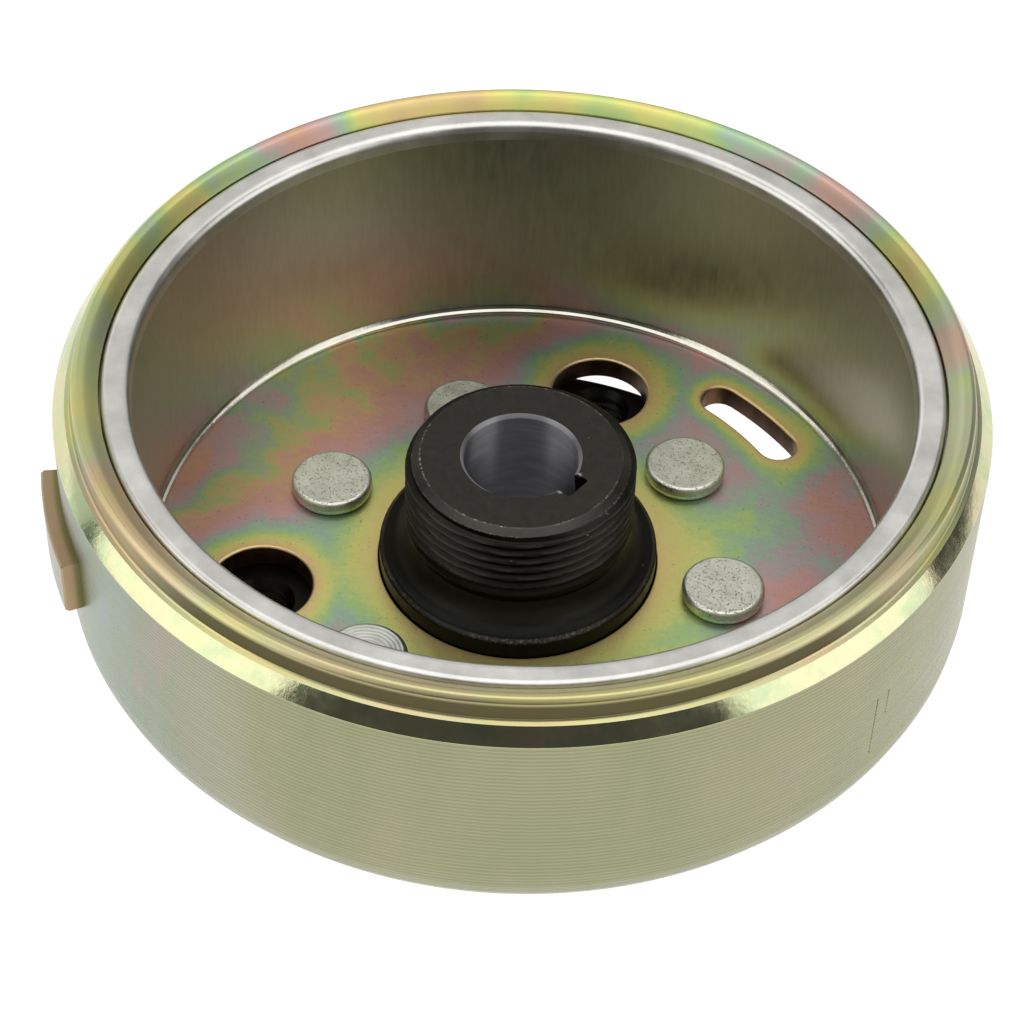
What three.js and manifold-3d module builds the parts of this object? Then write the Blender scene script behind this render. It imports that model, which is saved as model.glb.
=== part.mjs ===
// External-rotor magneto flywheel for a small engine.
// A pressed steel drum carries arc magnets behind a thin steel sleeve. A machined hub is riveted
// under the drum's floor. The hub's taper bore sits on the crankshaft, and its back flange takes
// a starter clutch. Units are millimetres, +Z points along the axis to the drum's open mouth, and
// the origin is on the axis at the hub's back face, the lowest face of the assembly.
import * as THREE from 'three';
import { mergeVertices } from 'three/addons/utils/BufferGeometryUtils.js';
import Module from 'manifold-3d';

const wasm = await Module();
wasm.setup();

// ---- driving dimensions -------------------------------------------------------------------
const GAP = 0.3;                    // gap kept between pieces that fit together
const REST = 0.2;                   // gap under a piece that rests on its neighbour

const FLANGE_R = 39;                // hub back flange
const FLANGE_T = 6;
const FLANGE_BEVEL = 0.8;

const DRUM_R = 58;                  // outside of the drum wall
const DRUM_FLOOR_T = 3.1;
const DRUM_WALL_T = 3.4;
const DRUM_CORNER_R = 9.6;          // outside corner between wall and floor
const WALL_TOP = 29.5;              // heights below are measured up from the drum floor
const BEVEL_TOP = 31.35;
const BEVEL_R = 56.4;
const LIP_UNDER = 31.6;
const LIP_TOP = 34.35;
const LIP_R = 52.2;                 // inner edge of the crimped lip
const LIP_PROFILE = [               // [r, z] over the crimped lip, from the land inwards
  [56.05, 31.45], [55.15, 33.6], [54.95, 34.05], [54.4, LIP_TOP], [53.9, 34.1], [53.2, 33.6],
];

const SLEEVE_IN_R = 48.3;           // the stator runs inside this radius
const SLEEVE_T = 0.9;
const SLEEVE_FOOT_R = 47.5;         // the sleeve's foot turns inwards over the drum floor
const SLEEVE_FOOT_H = 0.6;
const SLEEVE_BEAD = [               // [r, z] over the rolled bead, from the lip's side inwards
  [52, 31.9], [51.75, 32.6], [51.2, 33], [50.3, 33.1], [49.5, 32.95], [48.95, 32.55], [48.55, 31.9],
];
const SLEEVE_FLANGE_R = 53.8;
const SLEEVE_FLANGE_T = 0.9;

const HUB_TOP = 18.16;              // hub face above the drum floor
const HUB_FACE_R = 12.9;
const THREAD_R = 14.75;             // M30 x 1.5 puller thread, crests worn flat
const THREAD_PITCH = 1.5;
const THREAD_DEPTH = 0.85;
const THREAD_CRESTS = 7;
const THREAD_TOP_CREST = 16.85;
const NECK_R = 14.1;
const FLARE_PROFILE = [             // [r, z] from the collar up to the neck
  [16.05, 3.7], [14.9, 5.15], [14.35, 6.1],
];
const RIM_R = 18.1;                 // hub collar that stands through the drum floor
const RIM_H = 2.3;
const RIM_BEVEL = 0.7;
const BORE_TOP_R = 7.3;
const BORE_TAPER = 0.1;             // radius gained per millimetre of depth, a 1 in 5 taper
const BORE_BEVEL = 0.5;
const KEYWAY_W = 3.8;
const KEYWAY_DEPTH = 2;
const KEYWAY_AZ = -19;

const BOLT_PCR = 33.73;             // three bolts of the starter clutch
const BOLT_CLEAR_R = 6.6;           // hole in the drum floor
const BOLT_TAP_R = 3.4;             // M8 hole in the hub flange
const BOLT_TAP_BEVEL = 0.85;
const BOLT_AZ = [90, 210, 330];

const RIVET_PCR = 27.44;
const RIVET_FROM_BOLT = 35.45;      // angle from each bolt hole to the rivets on both sides
const RIVET_HEAD_R = 5.42;
const RIVET_HEAD_H = 1.9;
const RIVET_HEAD_ROUND = 0.45;
const RIVET_SHANK_R = 3.1;
const RIVET_TAIL_R = 4.7;
const RIVET_TAIL_H = 1.6;

const SLOT_PCR = 41.46;             // curved slot in the drum floor
const SLOT_HALF_W = 2.61;
const SLOT_AZ = 59;
const SLOT_HALF_SWEEP = 7.95;       // from the middle to each end radius's centre

const PAD_AZ = 214.2;               // raised pickup pad on the drum wall
const PAD_HALF_SWEEP = 8.2;
const PAD_OUT_R = 60.2;
const PAD_LOW = 12.6;
const PAD_HIGH = 20.4;

const MARKS = [                     // scribed timing lines on the wall
  { az: -24.1, low: 8.4, high: 18.6 },
  { az: -22, low: 14, high: 18.5 },
];
const MARK_W = 0.5;
const MARK_DEPTH = 0.3;

const MAGNET_COUNT = 6;
const MAGNET_SWEEP = 53;
const SPACER_SWEEP = 6.2;
const MAGNET_LOW = 6.9;

const SEGMENTS = 72;                // facets around the large turned pieces

// ---- derived dimensions -------------------------------------------------------------------
const FLOOR_Z = FLANGE_T + GAP + DRUM_FLOOR_T;          // inner face of the drum floor
const DRUM_IN_R = DRUM_R - DRUM_WALL_T;
const DRUM_IN_CORNER_R = DRUM_CORNER_R - DRUM_WALL_T;
const CORNER_C_R = DRUM_R - DRUM_CORNER_R;              // centre of the outside corner
const CORNER_C_Z = DRUM_CORNER_R - DRUM_FLOOR_T;
const INNER_CORNER_C_R = DRUM_IN_R - DRUM_IN_CORNER_R;
const SLEEVE_OUT_R = SLEEVE_IN_R + SLEEVE_T;
const SLEEVE_FLANGE_TOP = LIP_UNDER - GAP;
const SLEEVE_FLANGE_LOW = SLEEVE_FLANGE_TOP - SLEEVE_FLANGE_T;
const MAGNET_IN_R = SLEEVE_OUT_R + GAP;
const MAGNET_OUT_R = DRUM_IN_R - GAP;
const MAGNET_HIGH = SLEEVE_FLANGE_LOW - GAP;
const BACK_Z = -FLOOR_Z;                                // hub back face, from the drum floor
const RIVET_AZ = BOLT_AZ.flatMap((az) => [az - RIVET_FROM_BOLT, az + RIVET_FROM_BOLT]);

const rad = THREE.MathUtils.degToRad;

// ---- materials ----------------------------------------------------------------------------
function material(color, roughness, metalness) {
  return new THREE.MeshStandardMaterial({ color, roughness, metalness, flatShading: true });
}
const MATERIAL = {
  zinc: () => material(0xa8a27a, 0.35, 1),
  sleeve: () => material(0xb4b3ac, 0.3, 1),
  oxide: () => material(0x2b2a28, 0.4, 0.7),
  rivet: () => material(0x9ea39a, 0.4, 1),
  ferrite: () => material(0x3c3c3e, 0.8, 0.1),
  spacer: () => material(0x1f1f20, 0.7, 0),
  seat: () => material(0xb9bcc0, 0.4, 1),
};

// ---- geometry helpers ---------------------------------------------------------------------
// Points [r, z] along an arc, from one angle to another in degrees, both ends included.
function arc(centreR, centreZ, radius, from, to, steps) {
  return Array.from({ length: steps + 1 }, (_, i) => {
    const angle = rad(from + ((to - from) * i) / steps);
    return [centreR + radius * Math.cos(angle), centreZ + radius * Math.sin(angle)];
  });
}

// Keeps positions only and merges shared vertices, with the faces turned outwards.
function closed(source) {
  const bare = new THREE.BufferGeometry();
  bare.setAttribute('position', source.getAttribute('position').clone());
  if (source.index) bare.setIndex(source.index.clone());
  const merged = mergeVertices(bare, 1e-4);
  const points = merged.getAttribute('position');
  const faces = [];
  let volume = 0;
  const [a, b, c] = [new THREE.Vector3(), new THREE.Vector3(), new THREE.Vector3()];
  for (let i = 0; i < merged.index.count; i += 3) {
    const corner = [0, 1, 2].map((k) => merged.index.getX(i + k));
    if (new Set(corner).size < 3) continue;
    a.fromBufferAttribute(points, corner[0]);
    b.fromBufferAttribute(points, corner[1]);
    c.fromBufferAttribute(points, corner[2]);
    volume += a.dot(b.cross(c));
    faces.push(...corner);
  }
  merged.setIndex(volume < 0 ? faces.reverse() : faces);
  return merged;
}

// Turns a closed [r, z] outline around the Z axis. Heights are measured from the drum floor.
function turned(outline, segments) {
  const points = outline.map(([r, z]) => new THREE.Vector2(r, z));
  if (outline[0][0] > 0) points.push(points[0].clone());
  const geometry = new THREE.LatheGeometry(points, segments);
  geometry.rotateX(Math.PI / 2);
  return closed(geometry);
}

// A sector of a ring, centred on an azimuth, between two radii and two heights.
function ringSector(inR, outR, azimuth, halfSweep, low, high, steps) {
  const shape = new THREE.Shape();
  shape.absarc(0, 0, outR, rad(azimuth - halfSweep), rad(azimuth + halfSweep), false);
  shape.absarc(0, 0, inR, rad(azimuth + halfSweep), rad(azimuth - halfSweep), true);
  const options = { depth: high - low, bevelEnabled: false, curveSegments: steps };
  const geometry = new THREE.ExtrudeGeometry(shape, options);
  geometry.translate(0, 0, low);
  return closed(geometry);
}

function onCircle(geometry, radius, azimuth) {
  return geometry.clone().translate(radius * Math.cos(rad(azimuth)), radius * Math.sin(rad(azimuth)), 0);
}

function toSolid(geometry) {
  const mesh = new wasm.Mesh({
    numProp: 3,
    vertProperties: new Float32Array(geometry.getAttribute('position').array),
    triVerts: new Uint32Array(geometry.index.array),
  });
  mesh.merge();
  return new wasm.Manifold(mesh);
}

function fromSolid(solid) {
  const mesh = solid.getMesh();
  const geometry = new THREE.BufferGeometry();
  geometry.setAttribute('position', new THREE.BufferAttribute(mesh.vertProperties, 3));
  geometry.setIndex(new THREE.BufferAttribute(mesh.triVerts, 1));
  return geometry;
}

function subtractAll(geometry, cutters, additions = []) {
  let solid = toSolid(geometry);
  for (const addition of additions) solid = solid.add(toSolid(addition));
  for (const cutter of cutters) solid = solid.subtract(toSolid(cutter));
  return fromSolid(solid);
}

const root = new THREE.Group();
root.position.z = FLOOR_Z;          // every piece below is placed from the drum floor's face

function addPiece(name, geometry, surface) {
  const mesh = new THREE.Mesh(geometry, surface);
  mesh.name = name;
  root.add(mesh);
}

// ---- drum ---------------------------------------------------------------------------------
function drumGeometry() {
  const holeR = RIM_R + GAP;
  const outline = [
    [holeR, 0],
    [holeR, -DRUM_FLOOR_T],
    ...arc(CORNER_C_R, CORNER_C_Z, DRUM_CORNER_R, -90, 0, 6),
    [DRUM_R, WALL_TOP],
    [BEVEL_R, BEVEL_TOP],
    ...LIP_PROFILE,
    [LIP_R, LIP_UNDER + 0.65],
    [LIP_R, LIP_UNDER],
    [DRUM_IN_R, LIP_UNDER],
    ...arc(INNER_CORNER_C_R, DRUM_IN_CORNER_R, DRUM_IN_CORNER_R, 0, -90, 4),
  ];
  const through = [[0, -DRUM_FLOOR_T - 1], [1, -DRUM_FLOOR_T - 1], [1, 1], [0, 1]];
  const cylinder = (radius, facets) => turned(through.map(([r, z]) => [r * radius, z]), facets);
  const boltHole = cylinder(BOLT_CLEAR_R, 32);
  const rivetHole = cylinder(RIVET_SHANK_R + GAP, 16);
  const marks = MARKS.map(({ az, low, high }) => {
    const height = high - low;
    const groove = new THREE.BoxGeometry(2 * MARK_DEPTH, MARK_W, height);
    groove.translate(DRUM_R, 0, low + height / 2);
    return closed(groove.rotateZ(rad(az)));
  });
  const pad = ringSector(DRUM_R - 1, PAD_OUT_R, PAD_AZ, PAD_HALF_SWEEP, PAD_LOW, PAD_HIGH, 6);
  return subtractAll(turned(outline, SEGMENTS), [
    ...BOLT_AZ.map((az) => onCircle(boltHole, BOLT_PCR, az)),
    ...RIVET_AZ.map((az) => onCircle(rivetHole, RIVET_PCR, az)),
    slotCutter(),
    ...marks,
  ], [pad]);
}

// The curved slot: a ring sector with round ends.
function slotCutter() {
  const from = rad(SLOT_AZ - SLOT_HALF_SWEEP);
  const to = rad(SLOT_AZ + SLOT_HALF_SWEEP);
  const shape = new THREE.Shape();
  shape.absarc(0, 0, SLOT_PCR + SLOT_HALF_W, from, to, false);
  const end = [SLOT_PCR * Math.cos(to), SLOT_PCR * Math.sin(to)];
  shape.absarc(end[0], end[1], SLOT_HALF_W, to, to + Math.PI, false);
  shape.absarc(0, 0, SLOT_PCR - SLOT_HALF_W, to, from, true);
  const start = [SLOT_PCR * Math.cos(from), SLOT_PCR * Math.sin(from)];
  shape.absarc(start[0], start[1], SLOT_HALF_W, from - Math.PI, from, false);
  const depth = DRUM_FLOOR_T + 2;
  const geometry = new THREE.ExtrudeGeometry(shape, { depth, bevelEnabled: false, curveSegments: 6 });
  geometry.translate(0, 0, -DRUM_FLOOR_T - 1);
  return closed(geometry);
}

// ---- magnet sleeve ------------------------------------------------------------------------
function sleeveGeometry() {
  return turned([
    [SLEEVE_FOOT_R, REST],
    [SLEEVE_OUT_R, REST],
    [SLEEVE_OUT_R, SLEEVE_FLANGE_LOW],
    [SLEEVE_FLANGE_R, SLEEVE_FLANGE_LOW],
    [SLEEVE_FLANGE_R, SLEEVE_FLANGE_TOP],
    [LIP_R - GAP, SLEEVE_FLANGE_TOP],
    ...SLEEVE_BEAD,
    [SLEEVE_IN_R, 31],
    [SLEEVE_IN_R, 2 * SLEEVE_FOOT_H],
    [SLEEVE_FOOT_R, SLEEVE_FOOT_H],
  ], SEGMENTS);
}

// ---- magnets, spacers and the ring they stand on ------------------------------------------
function seatRingGeometry() {
  const radius = DRUM_IN_CORNER_R - GAP;
  const foot = Math.asin((MAGNET_IN_R - INNER_CORNER_C_R) / radius);
  return turned([
    [MAGNET_IN_R, MAGNET_LOW - GAP],
    ...arc(INNER_CORNER_C_R, DRUM_IN_CORNER_R, radius, THREE.MathUtils.radToDeg(foot) - 90, 0, 5),
    [DRUM_IN_R - GAP, MAGNET_LOW - GAP],
  ], SEGMENTS);
}

function magnetGeometry(index) {
  const azimuth = (index * 360) / MAGNET_COUNT;
  const half = MAGNET_SWEEP / 2;
  return ringSector(MAGNET_IN_R, MAGNET_OUT_R, azimuth, half, MAGNET_LOW, MAGNET_HIGH, 11);
}

function spacerGeometry(index) {
  const azimuth = ((index + 0.5) * 360) / MAGNET_COUNT;
  const half = SPACER_SWEEP / 2;
  return ringSector(MAGNET_IN_R, MAGNET_OUT_R, azimuth, half, MAGNET_LOW, MAGNET_HIGH, 2);
}

// ---- hub ----------------------------------------------------------------------------------
function boreRadiusAt(z) {
  return BORE_TOP_R + (HUB_TOP - z) * BORE_TAPER;
}

// Root and crest points of the puller thread's turns, from the lowest turn to the top.
function threadOutline(top) {
  return Array.from({ length: THREAD_CRESTS }, (_, i) => {
    const crest = top - (THREAD_CRESTS - 1 - i) * THREAD_PITCH;
    return [
      [THREAD_R - THREAD_DEPTH, crest - THREAD_PITCH / 2],
      [THREAD_R, crest - 0.15],
      [THREAD_R, crest + 0.15],
    ];
  }).flat();
}

function hubGeometry() {
  const flangeTop = -DRUM_FLOOR_T - GAP;
  const lowCrest = THREAD_TOP_CREST - (THREAD_CRESTS - 1) * THREAD_PITCH;
  const outline = [
    [boreRadiusAt(BACK_Z) + BORE_BEVEL, BACK_Z],
    [FLANGE_R - FLANGE_BEVEL, BACK_Z],
    [FLANGE_R, BACK_Z + FLANGE_BEVEL],
    [FLANGE_R, flangeTop - FLANGE_BEVEL],
    [FLANGE_R - FLANGE_BEVEL, flangeTop],
    [RIM_R, flangeTop],
    [RIM_R, RIM_H],
    [RIM_R - RIM_BEVEL, RIM_H + RIM_BEVEL],
    ...FLARE_PROFILE,
    [NECK_R, lowCrest - 1.4],
    ...threadOutline(THREAD_TOP_CREST),
    [THREAD_R - THREAD_DEPTH, THREAD_TOP_CREST + 0.55],
    [HUB_FACE_R, HUB_TOP],
    [BORE_TOP_R + BORE_BEVEL, HUB_TOP],
    [boreRadiusAt(HUB_TOP - 0.6), HUB_TOP - 0.6],
    [boreRadiusAt(BACK_Z + BORE_BEVEL), BACK_Z + BORE_BEVEL],
  ];
  return subtractAll(turned(outline, 48), [
    keywayCutter(),
    ...BOLT_AZ.map((az) => onCircle(tapCutter(flangeTop), BOLT_PCR, az)),
    ...RIVET_AZ.map((az) => onCircle(rivetHoleCutter(), RIVET_PCR, az)),
  ]);
}

// The keyway runs the length of the bore, its floor parallel to the taper.
function keywayCutter() {
  const [low, high] = [BACK_Z - 1, HUB_TOP + 1];
  const shape = new THREE.Shape();
  shape.moveTo(BORE_TOP_R - 2, low);
  shape.lineTo(boreRadiusAt(low) + KEYWAY_DEPTH, low);
  shape.lineTo(boreRadiusAt(high) + KEYWAY_DEPTH, high);
  shape.lineTo(BORE_TOP_R - 2, high);
  shape.closePath();
  const geometry = new THREE.ExtrudeGeometry(shape, { depth: KEYWAY_W, bevelEnabled: false });
  geometry.translate(0, 0, -KEYWAY_W / 2);
  geometry.rotateX(Math.PI / 2);
  return closed(geometry.rotateZ(rad(KEYWAY_AZ)));
}

function tapCutter(top) {
  const wide = BOLT_TAP_R + BOLT_TAP_BEVEL;
  return turned([
    [0, BACK_Z - 1],
    [wide, BACK_Z - 1],
    [wide, BACK_Z],
    [BOLT_TAP_R, BACK_Z + BOLT_TAP_BEVEL],
    [BOLT_TAP_R, top - BOLT_TAP_BEVEL],
    [wide, top],
    [wide, top + 1],
    [0, top + 1],
  ], 24);
}

function rivetHoleCutter() {
  const shank = RIVET_SHANK_R + GAP;
  const tail = RIVET_TAIL_R + GAP;
  return turned([
    [0, BACK_Z - 1],
    [tail, BACK_Z - 1],
    [tail, BACK_Z],
    [shank, BACK_Z + RIVET_TAIL_H],
    [shank, 0],
    [0, 0],
  ], 16);
}

// ---- rivets -------------------------------------------------------------------------------
function rivetGeometry() {
  const top = REST + RIVET_HEAD_H;
  const shoulder = RIVET_HEAD_R - RIVET_HEAD_ROUND;
  return turned([
    [0, BACK_Z],
    [RIVET_TAIL_R, BACK_Z],
    [RIVET_SHANK_R, BACK_Z + RIVET_TAIL_H],
    [RIVET_SHANK_R, REST],
    [RIVET_HEAD_R, REST],
    ...arc(shoulder, top - RIVET_HEAD_ROUND, RIVET_HEAD_ROUND, 0, 90, 2),
    [0, top],
  ], 20);
}

// ---- assembly -----------------------------------------------------------------------------
addPiece('drum', drumGeometry(), MATERIAL.zinc());
addPiece('magnet_sleeve', sleeveGeometry(), MATERIAL.sleeve());
addPiece('magnet_seat_ring', seatRingGeometry(), MATERIAL.seat());
addPiece('hub', hubGeometry(), MATERIAL.oxide());
for (let i = 0; i < MAGNET_COUNT; i += 1) {
  addPiece(`magnet_${i + 1}`, magnetGeometry(i), MATERIAL.ferrite());
  addPiece(`magnet_spacer_${i + 1}`, spacerGeometry(i), MATERIAL.spacer());
}
RIVET_AZ.forEach((az, i) => {
  addPiece(`rivet_${i + 1}`, onCircle(rivetGeometry(), RIVET_PCR, az), MATERIAL.rivet());
});

export default root;
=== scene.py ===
"""Magneto flywheel of a small engine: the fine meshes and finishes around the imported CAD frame.

Sizes are in millimetres and heights are measured up from the inner face of the drum's floor. An
outline is a list of [radius, height, corner radius] corners. Everything turned is one closed
outline carried round the axis.
"""
import math

import bmesh
import bpy
from mathutils import Matrix, Vector, noise


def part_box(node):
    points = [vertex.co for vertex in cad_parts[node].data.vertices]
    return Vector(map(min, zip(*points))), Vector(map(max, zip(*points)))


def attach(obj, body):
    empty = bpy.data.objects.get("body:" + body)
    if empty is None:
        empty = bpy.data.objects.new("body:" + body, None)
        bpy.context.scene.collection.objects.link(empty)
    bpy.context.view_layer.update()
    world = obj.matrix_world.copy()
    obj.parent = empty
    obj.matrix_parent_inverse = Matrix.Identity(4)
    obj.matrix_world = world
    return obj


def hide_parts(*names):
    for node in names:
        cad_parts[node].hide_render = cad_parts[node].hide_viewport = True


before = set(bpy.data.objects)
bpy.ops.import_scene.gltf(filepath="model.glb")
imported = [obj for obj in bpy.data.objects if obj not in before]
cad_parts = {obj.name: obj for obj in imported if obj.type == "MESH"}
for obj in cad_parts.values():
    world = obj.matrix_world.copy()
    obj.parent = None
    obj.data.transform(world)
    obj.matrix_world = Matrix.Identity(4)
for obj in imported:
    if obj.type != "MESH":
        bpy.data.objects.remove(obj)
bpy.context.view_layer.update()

# ---- sizes, in millimetres and degrees -------------------------------------------------------
MM = 0.001
DRUM_FLOOR_T = 3.1
FLOOR_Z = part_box("drum")[0].z / MM + DRUM_FLOOR_T
DRUM_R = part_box("drum")[1].x / MM
DRUM_WALL_T = 3.4
DRUM_CORNER_R = 9.6
WALL_TOP = 29.5
BEVEL_R, BEVEL_TOP = 56.4, 31.35
LIP_R, LIP_UNDER, LIP_TOP = 52.2, 31.6, 34.35
LIP_FLANK_FOOT_R, LIP_FLANK_TOP_R, LIP_FLANK_TOP = 55.75, 55.45, 33.85
LIP_CREST_R, LIP_SHOULDER_R, LIP_EDGE_TOP = 54.8, 54.0, 32.8

SLEEVE_IN_R, SLEEVE_T = 48.3, 0.9
SLEEVE_FOOT_IN_R, SLEEVE_FOOT_TOP = SLEEVE_IN_R - 0.8, 1.2
SLEEVE_FLANGE_R, SLEEVE_FLANGE_LOW, SLEEVE_FLANGE_TOP = 53.8, 30.4, 31.3
SLEEVE_BEAD_R, SLEEVE_BEAD_TOP, SLEEVE_BEAD_LOW = LIP_R - 0.15, 33.1, 30.8

HUB_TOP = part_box("hub")[1].z / MM - FLOOR_Z
BACK_Z = -FLOOR_Z
FLANGE_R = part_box("hub")[1].x / MM
FLANGE_TOP = -DRUM_FLOOR_T - 0.15
HUB_FACE_R = 12.9
THREAD_R, THREAD_PITCH, THREAD_DEPTH = 14.75, 1.45, 0.72
THREAD_LOW, THREAD_HIGH, THREAD_RUN_OUT = 6.6, 17.5, 3.5
THREAD_END_R = 13.95
NECK_FLARE = ((16.6, 3.2), (15.95, 3.65), (15.35, 4.25), (14.85, 4.95), (14.5, 5.6), (14.3, 6.2))
RIM_R, RIM_H, RIM_BEVEL = 18.1, 2.3, 0.7
BORE_TOP_R, BORE_TAPER, BORE_BEVEL = 7.3, 0.1, 0.5
KEYWAY_W, KEYWAY_DEPTH, KEYWAY_AZ = 3.8, 2.0, -19.0

BOLT_PCR, BOLT_CLEAR_R, BOLT_TAP_R = 33.73, 6.6, 3.4
BOLT_AZ = (90.0, 210.0, 330.0)
TAP_PITCH, TAP_DEPTH, TAP_MOUTH = 1.25, 0.6, 0.85
RIVET_PCR, RIVET_FROM_BOLT = 27.44, 35.45
RIVET_AZ = [az + side * RIVET_FROM_BOLT for az in BOLT_AZ for side in (-1, 1)]
RIVET_HEAD_R, RIVET_HEAD_TOP = 5.42, 2.1
RIVET_SHANK_R, RIVET_TAIL_R, RIVET_TAIL_H = 3.1, 4.7, 1.6
TURNED_RIVET = 3                    # the one rivet, counted from 0, whose head was faced
SLOT_PCR, SLOT_HALF_W, SLOT_AZ, SLOT_HALF_SWEEP = 41.46, 2.61, 59.0, 7.95
CUT_LOW, CUT_HIGH = -DRUM_FLOOR_T - 1.4, 1.0    # cutters run from below the floor to above it

PAD_AZ, PAD_HALF_SWEEP, PAD_OUT_R = 214.2, 8.0, 60.2
PAD_LOW, PAD_HIGH = 12.6, 20.4
MARKS = ((-24.1, 8.4, 18.6), (-22.0, 14.0, 18.5))      # azimuth, lowest and highest point
MARK_CUTTER_W, MARK_CUTTER_OUT, MARK_DEPTH = 0.675, 0.4, 0.22
TURNING_PITCH = 0.62

# ---- mesh fineness ---------------------------------------------------------------------------
SHELL_FACETS, RIVET_FACETS, BOLT_FACETS, SMALL_FACETS = 360, 128, 96, 48
ARC_STEP, SMALL_ARC_R = 12, 0.6     # degrees to a facet, on arcs larger than this radius
THREAD_RING_STEP = 0.1
SHARP_ANGLE = math.radians(28)
FLAT_Z = 0.99995                    # a face whose normal has more z than this is level

# ---- camera, as it stood ---------------------------------------------------------------------
CAMERA_AZ = 18.23                   # degrees round from looking along +Y
CAMERA_BACK, CAMERA_UP = 266.16, 276.2
CAMERA_PITCH, CAMERA_YAW, CAMERA_ROLL = 45.23, -0.2, 1.94
CAMERA_LENS, CAMERA_SENSOR = 102.77, 36.0

# ---- lights: name, azimuth, elevation, distance, (width, height) in metres, brightness -------
SOFTBOXES = (
    ("back_box", 180, 30, 1.5, (2.4, 1.3), 0.62),
    ("left_box", -76, 27, 1.1, (1.0, 0.8), 1.5),
    ("left_back_box", -130, 14, 1.2, (1.2, 0.7), 0.7),
    ("right_box", 74, 27, 1.1, (0.95, 0.8), 1.5),
    ("top_box", 180, 88, 1.2, (1.7, 1.35), 1.45),
)
PAPER_DROP = 0.0002                 # metres that the paper lies below the object
PAPER_SHADOW_TO_GLOW = (36 * MM, 40 * MM)     # the painted shadow under the drum gives way to the glow between these radii


def srgb(red, green, blue):
    """A colour given as 0 to 255 display values, in linear light with an alpha of 1."""
    def linear(value):
        value /= 255
        return value / 12.92 if value <= 0.04045 else ((value + 0.055) / 1.055) ** 2.4
    return (linear(red), linear(green), linear(blue), 1.0)


def grey(value):
    """A grey in linear light."""
    return (value, value, value, 1.0)


def at(radius, azimuth, z=0.0):
    """A point in metres from millimetres and degrees, with z measured from the drum's floor."""
    angle = math.radians(azimuth)
    return Vector((radius * math.cos(angle), radius * math.sin(angle), z + FLOOR_Z)) * MM


# ---- mesh helpers ----------------------------------------------------------------------------
def rounded(corners, steps=5):
    """The outline's points, with each corner of a stated radius as an arc."""
    points = []
    for i, (r, z, radius) in enumerate(corners):
        if radius <= 0:
            points.append((r, z))
            continue
        here = Vector((r, z))
        back = Vector(corners[i - 1][:2]) - here
        ahead = Vector(corners[(i + 1) % len(corners)][:2]) - here
        half = back.angle(ahead) / 2
        reach = min(radius / math.tan(half), back.length * 0.49, ahead.length * 0.49)
        radius = reach * math.tan(half)
        inwards = (back.normalized() + ahead.normalized()).normalized()
        centre = here + inwards * (radius / math.sin(half))
        start = here + back.normalized() * reach - centre
        end = here + ahead.normalized() * reach - centre
        sweep = start.angle(end)
        turns = max(steps, round(math.degrees(sweep) / ARC_STEP)) if radius > SMALL_ARC_R else steps
        for k in range(turns + 1):
            before, after = math.sin((1 - k / turns) * sweep), math.sin(k / turns * sweep)
            points.append(tuple(centre + (before * start + after * end) / math.sin(sweep)))
    return points


def carried_round(outline, segments, shape=None):
    """A bmesh of a closed outline carried round the axis. shape(r, z, angle) may change r."""
    mesh = bmesh.new()
    rings = []
    for r, z in outline:
        if r < 1e-6:
            rings.append([mesh.verts.new((0, 0, (z + FLOOR_Z) * MM))])
            continue
        ring = []
        for k in range(segments):
            angle = 2 * math.pi * k / segments
            radius = shape(r, z, angle) if shape else r
            place = (radius * math.cos(angle), radius * math.sin(angle), z + FLOOR_Z)
            ring.append(mesh.verts.new(Vector(place) * MM))
        rings.append(ring)
    for lower, upper in zip(rings, rings[1:] + rings[:1]):
        if len(lower) == 1 and len(upper) == 1:
            continue
        for k in range(segments):
            after = (k + 1) % segments
            corners = [lower[k % len(lower)], lower[after % len(lower)]]
            corners += [upper[after % len(upper)], upper[k % len(upper)]]
            mesh.faces.new(list(dict.fromkeys(corners)))
    bmesh.ops.recalc_face_normals(mesh, faces=mesh.faces)
    return mesh


def stacked(loops):
    """A closed bmesh through loops of points, capped at both ends."""
    mesh = bmesh.new()
    rows = [[mesh.verts.new(point) for point in loop] for loop in loops]
    for lower, upper in zip(rows, rows[1:]):
        for k in range(len(lower)):
            after = (k + 1) % len(lower)
            mesh.faces.new((lower[k], lower[after], upper[after], upper[k]))
    mesh.faces.new(rows[0][::-1])
    mesh.faces.new(rows[-1])
    bmesh.ops.recalc_face_normals(mesh, faces=mesh.faces)
    return mesh


def off_axis(mesh, pitch_radius, azimuth):
    """The mesh, moved from the axis to a place on a pitch circle."""
    bmesh.ops.translate(mesh, verts=mesh.verts, vec=at(pitch_radius, azimuth) - at(0, 0))
    return mesh


def make_object(name, mesh):
    data = bpy.data.meshes.new(name)
    mesh.to_mesh(data)
    mesh.free()
    made = bpy.data.objects.new(name, data)
    bpy.context.scene.collection.objects.link(made)
    return made


def combined(target, others, operation):
    """Joins or cuts target with every bmesh in others, exactly, and keeps the result."""
    tool_mesh = bmesh.new()
    for other in others:
        part = bpy.data.meshes.new("part")
        other.to_mesh(part)
        other.free()
        tool_mesh.from_mesh(part)
        bpy.data.meshes.remove(part)
    tool = make_object("tool", tool_mesh)
    boolean = target.modifiers.new("boolean", "BOOLEAN")
    boolean.operation = operation
    boolean.solver = "EXACT"
    boolean.object = tool
    depsgraph = bpy.context.evaluated_depsgraph_get()
    result = bpy.data.meshes.new_from_object(target.evaluated_get(depsgraph))
    target.modifiers.clear()
    target.data = result
    bpy.data.objects.remove(tool)


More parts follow.
